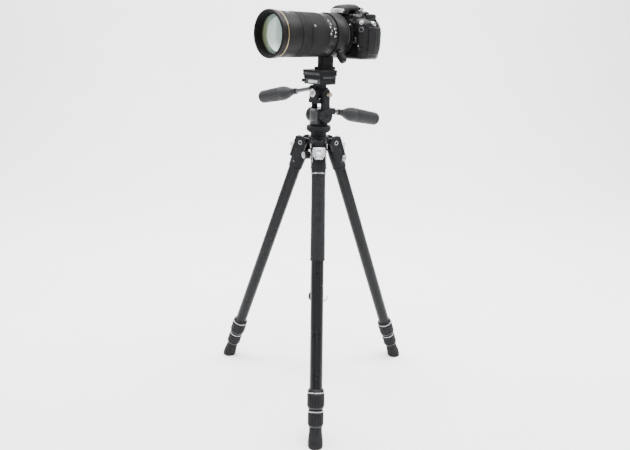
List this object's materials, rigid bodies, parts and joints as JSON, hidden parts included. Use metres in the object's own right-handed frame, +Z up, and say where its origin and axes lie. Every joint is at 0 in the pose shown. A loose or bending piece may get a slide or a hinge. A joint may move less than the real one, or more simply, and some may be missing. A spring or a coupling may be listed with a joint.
{
  "type": "camera on tripod",
  "caption": "Single-lens reflex camera with a long zoom lens on a three-way pan and tilt head and a three-leg telescopic tripod.",
  "frame": {"origin": "on the floor, under the middle of the whole object's box", "axes": "+Z up along the tripod's axis; the front leg points along -Y; the lens points to -X and -Y, 222.2 degrees round from +X in plan"},
  "size_m": [0.4794, 0.4196, 0.897],
  "materials": {
    "cast_black": "satin powder coat",
    "silver": "satin anodised",
    "leg_tube": "satin dark grey with a fine weave",
    "lock_rubber": "ribbed matte",
    "foot_rubber": "matte",
    "grip_rubber": "fine ribbed matte",
    "steel": "brushed",
    "steel_dark": "dark brushed",
    "knob_plastic": "matte",
    "lens_black": "semi-matte crackle paint",
    "lens_rubber": "ribbed matte",
    "coated_glass": "polished, green and magenta coating",
    "camera_black": "fine-grained semi-matte",
    "camera_rubber": "leather-grained",
    "gold_trim": "satin gold line",
    "white_mark": "printed white",
    "screen_glass": "polished",
    "chrome": "bright"
  },
  "bodies": {
    "base": {"spider": "cast_black", "leg_hinge_pins": "steel"},
    "column_knob": {"column_lock_knob": "knob_plastic"},
    "column": {"centre_column": "leg_tube", "column_top_plate": "cast_black", "column_end_cap": "knob_plastic", "head_base": "cast_black"},
    "hook": {"ballast_hook": "steel"},
    "front_leg": {"front_leg_casting": "cast_black", "front_leg_upper_tube": "leg_tube", "front_leg_grip": "grip_rubber"},
    "front_leg_lock_button": {"front_leg_angle_lock": "silver"},
    "front_leg_upper_lock": {"front_leg_upper_twist_lock": "lock_rubber"},
    "front_leg_middle": {"front_leg_middle_tube": "leg_tube"},
    "front_leg_lower_lock": {"front_leg_lower_twist_lock": "lock_rubber"},
    "front_leg_lower": {"front_leg_lower_tube": "leg_tube", "front_leg_foot": "foot_rubber"},
    "left_leg": {"left_leg_casting": "cast_black", "left_leg_upper_tube": "leg_tube"},
    "left_leg_lock_button": {"left_leg_angle_lock": "silver"},
    "left_leg_upper_lock": {"left_leg_upper_twist_lock": "lock_rubber"},
    "left_leg_middle": {"left_leg_middle_tube": "leg_tube"},
    "left_leg_lower_lock": {"left_leg_lower_twist_lock": "lock_rubber"},
    "left_leg_lower": {"left_leg_lower_tube": "leg_tube", "left_leg_foot": "foot_rubber"},
    "right_leg": {"right_leg_casting": "cast_black", "right_leg_upper_tube": "leg_tube"},
    "right_leg_lock_button": {"right_leg_angle_lock": "silver"},
    "right_leg_upper_lock": {"right_leg_upper_twist_lock": "lock_rubber"},
    "right_leg_middle": {"right_leg_middle_tube": "leg_tube"},
    "right_leg_lower_lock": {"right_leg_lower_twist_lock": "lock_rubber"},
    "right_leg_lower": {"right_leg_lower_tube": "leg_tube", "right_leg_foot": "foot_rubber"},
    "pan": {"pan_body": "cast_black"},
    "tilt": {"tilt_body": "cast_black", "side_tilt_cap": "silver"},
    "friction_knob": {"friction_knob": "silver"},
    "tilt_handle": {"tilt_handle_rod": "steel_dark", "tilt_handle_grip": "grip_rubber"},
    "top": {"top_body": "cast_black"},
    "side_handle": {"side_handle_rod": "steel_dark", "side_handle_grip": "grip_rubber"},
    "clamp_lever": {"clamp_lever": "silver"},
    "plate": {"quick_release_plate": "cast_black", "plate_screw": "steel", "lens_collar": "lens_black"},
    "collar_knob": {"collar_knob": "knob_plastic"},
    "camera": {"lens_barrel": "lens_black", "lens_front_ring": "lens_black", "front_glass": "coated_glass", "camera_body": "camera_black"},
    "zoom": {"zoom_ring": "lens_rubber"},
    "focus": {"focus_ring": "lens_rubber"},
    "flash": {"popup_flash": "camera_black"},
    "mode_dial": {"mode_dial": "camera_black"},
    "shutter": {"shutter_button": "camera_black"},
    "command_dial": {"command_dial": "camera_black"},
    "terminal_cover": {"terminal_cover": "camera_rubber"},
    "battery_door": {"battery_door": "camera_black"},
    "card_door": {"card_door": "camera_rubber"}
  },
  "joints": [
    {"name": "column_knob_turn", "type": "hinge", "parent": "base", "child": "column_knob", "pos_m": [-0.02598, 0.04945, 0.577], "axis": [-0.866, -0.5, 0], "range_deg": [0, 180]},
    {"name": "column_rise", "type": "slide", "parent": "base", "child": "column", "axis": [0, 0, 1], "range_m": [0, 0.3]},
    {"name": "hook_swivel", "type": "hinge", "parent": "column", "child": "hook", "pos_m": [0, 0.06445, 0.235], "axis": [0, 0, 1], "continuous": true},
    {"name": "front_leg_fold", "type": "hinge", "parent": "base", "child": "front_leg", "pos_m": [0, 0.02795, 0.6015], "axis": [1, 0, 0], "range_deg": [0, 20.3]},
    {"name": "front_leg_angle_release", "type": "slide", "parent": "front_leg", "child": "front_leg_lock_button", "axis": [0, -0.9374, 0.3483], "range_m": [0, 0.006], "stiffness_N_per_m": 300, "springref_m": -0.003},
    {"name": "front_leg_upper_lock_twist", "type": "hinge", "parent": "front_leg", "child": "front_leg_upper_lock", "pos_m": [0, -0.16013, 0.09531], "axis": [0, -0.3483, -0.9374], "range_deg": [0, 90]},
    {"name": "front_leg_middle_extend", "type": "slide", "parent": "front_leg", "child": "front_leg_middle", "axis": [0, -0.3483, -0.9374], "range_m": [0, 0.42]},
    {"name": "front_leg_lower_lock_twist", "type": "hinge", "parent": "front_leg_middle", "child": "front_leg_lower_lock", "pos_m": [0, -0.17407, 0.05782], "axis": [0, -0.3483, -0.9374], "range_deg": [0, 90]},
    {"name": "front_leg_lower_extend", "type": "slide", "parent": "front_leg_middle", "child": "front_leg_lower", "axis": [0, -0.3483, -0.9374], "range_m": [0, 0.42]},
    {"name": "left_leg_fold", "type": "hinge", "parent": "base", "child": "left_leg", "pos_m": [-0.03161, 0.0827, 0.6015], "axis": [-0.5, -0.866, 0], "range_deg": [0, 20.3]},
    {"name": "left_leg_angle_release", "type": "slide", "parent": "left_leg", "child": "left_leg_lock_button", "axis": [-0.8118, 0.4687, 0.3483], "range_m": [0, 0.006], "stiffness_N_per_m": 300, "springref_m": -0.003},
    {"name": "left_leg_upper_lock_twist", "type": "hinge", "parent": "left_leg", "child": "left_leg_upper_lock", "pos_m": [-0.1945, 0.17674, 0.09531], "axis": [-0.3016, 0.1742, -0.9374], "range_deg": [0, 90]},
    {"name": "left_leg_middle_extend", "type": "slide", "parent": "left_leg", "child": "left_leg_middle", "axis": [-0.3016, 0.1742, -0.9374], "range_m": [0, 0.42]},
    {"name": "left_leg_lower_lock_twist", "type": "hinge", "parent": "left_leg_middle", "child": "left_leg_lower_lock", "pos_m": [-0.20656, 0.18371, 0.05782], "axis": [-0.3016, 0.1742, -0.9374], "range_deg": [0, 90]},
    {"name": "left_leg_lower_extend", "type": "slide", "parent": "left_leg_middle", "child": "left_leg_lower", "axis": [-0.3016, 0.1742, -0.9374], "range_m": [0, 0.42]},
    {"name": "right_leg_fold", "type": "hinge", "parent": "base", "child": "right_leg", "pos_m": [0.03161, 0.0827, 0.6015], "axis": [-0.5, 0.866, 0], "range_deg": [0, 20.3]},
    {"name": "right_leg_angle_release", "type": "slide", "parent": "right_leg", "child": "right_leg_lock_button", "axis": [0.8118, 0.4687, 0.3483], "range_m": [0, 0.006], "stiffness_N_per_m": 300, "springref_m": -0.003},
    {"name": "right_leg_upper_lock_twist", "type": "hinge", "parent": "right_leg", "child": "right_leg_upper_lock", "pos_m": [0.1945, 0.17674, 0.09531], "axis": [0.3016, 0.1742, -0.9374], "range_deg": [0, 90]},
    {"name": "right_leg_middle_extend", "type": "slide", "parent": "right_leg", "child": "right_leg_middle", "axis": [0.3016, 0.1742, -0.9374], "range_m": [0, 0.42]},
    {"name": "right_leg_lower_lock_twist", "type": "hinge", "parent": "right_leg_middle", "child": "right_leg_lower_lock", "pos_m": [0.20656, 0.18371, 0.05782], "axis": [0.3016, 0.1742, -0.9374], "range_deg": [0, 90]},
    {"name": "right_leg_lower_extend", "type": "slide", "parent": "right_leg_middle", "child": "right_leg_lower", "axis": [0.3016, 0.1742, -0.9374], "range_m": [0, 0.42]},
    {"name": "pan_turn", "type": "hinge", "parent": "column", "child": "pan", "pos_m": [0, 0.06445, 0.643], "axis": [0, 0, 1], "continuous": true},
    {"name": "front_tilt", "type": "hinge", "parent": "pan", "child": "tilt", "pos_m": [0, 0.06445, 0.663], "axis": [0.6717, -0.7408, 0], "range_deg": [-30, 90]},
    {"name": "friction_knob_turn", "type": "hinge", "parent": "tilt", "child": "friction_knob", "pos_m": [0.02015, 0.04223, 0.7095], "axis": [0.6717, -0.7408, 0], "range_deg": [0, 180]},
    {"name": "tilt_handle_twist", "type": "hinge", "parent": "tilt", "child": "tilt_handle", "pos_m": [0.02519, 0.08729, 0.671], "axis": [0.7272, 0.6594, -0.1908], "range_deg": [0, 180]},
    {"name": "side_tilt", "type": "hinge", "parent": "tilt", "child": "top", "pos_m": [0, 0.06445, 0.712], "axis": [-0.7408, -0.6717, 0], "range_deg": [-20, 40]},
    {"name": "side_handle_twist", "type": "hinge", "parent": "top", "child": "side_handle", "pos_m": [-0.01654, 0.07375, 0.72], "axis": [-0.6594, 0.7272, -0.1908], "range_deg": [0, 180]},
    {"name": "clamp_lever_swing", "type": "hinge", "parent": "top", "child": "clamp_lever", "pos_m": [-0.01429, 0.09807, 0.736], "axis": [0, 0, -1], "range_deg": [0, 80]},
    {"name": "plate_slide", "type": "slide", "parent": "top", "child": "plate", "axis": [-0.7408, -0.6717, 0], "range_m": [-0.012, 0.012]},
    {"name": "collar_knob_turn", "type": "hinge", "parent": "plate", "child": "collar_knob", "pos_m": [0.04475, 0.05083, 0.78641], "axis": [0.4495, -0.4957, -0.7431], "range_deg": [0, 180]},
    {"name": "lens_roll", "type": "hinge", "parent": "plate", "child": "camera", "pos_m": [0, 0.06445, 0.831], "axis": [-0.7408, -0.6717, 0], "range_deg": [-90, 90]},
    {"name": "zoom_turn", "type": "hinge", "parent": "camera", "child": "zoom", "pos_m": [-0.02963, 0.03758, 0.831], "axis": [-0.7408, -0.6717, 0], "range_deg": [0, 80]},
    {"name": "focus_turn", "type": "hinge", "parent": "camera", "child": "focus", "pos_m": [-0.05778, 0.01206, 0.831], "axis": [-0.7408, -0.6717, 0], "range_deg": [0, 120]},
    {"name": "flash_rise", "type": "hinge", "parent": "camera", "child": "flash", "pos_m": [0.06741, 0.12558, 0.887], "axis": [-0.6717, 0.7408, 0], "range_deg": [0, 70]},
    {"name": "mode_dial_turn", "type": "hinge", "parent": "camera", "child": "mode_dial", "pos_m": [0.10753, 0.09176, 0.87], "axis": [0, 0, 1], "continuous": true},
    {"name": "shutter_press", "type": "slide", "parent": "camera", "child": "shutter", "axis": [0, 0, -1], "range_m": [0, 0.0025], "stiffness_N_per_m": 400, "springref_m": -0.001},
    {"name": "command_dial_turn", "type": "hinge", "parent": "camera", "child": "command_dial", "pos_m": [0.04711, 0.18816, 0.857], "axis": [0, 0, 1], "continuous": true},
    {"name": "terminal_cover_open", "type": "hinge", "parent": "camera", "child": "terminal_cover", "pos_m": [0.09672, 0.05604, 0.822], "axis": [0, 0, -1], "range_deg": [0, 100]},
    {"name": "battery_door_open", "type": "hinge", "parent": "camera", "child": "battery_door", "pos_m": [0.01548, 0.17838, 0.784], "axis": [0.7408, 0.6717, 0], "range_deg": [0, 90]},
    {"name": "card_door_open", "type": "hinge", "parent": "camera", "child": "card_door", "pos_m": [0.00418, 0.17299, 0.825], "axis": [0, 0, 1], "range_deg": [0, 90]}
  ]
}
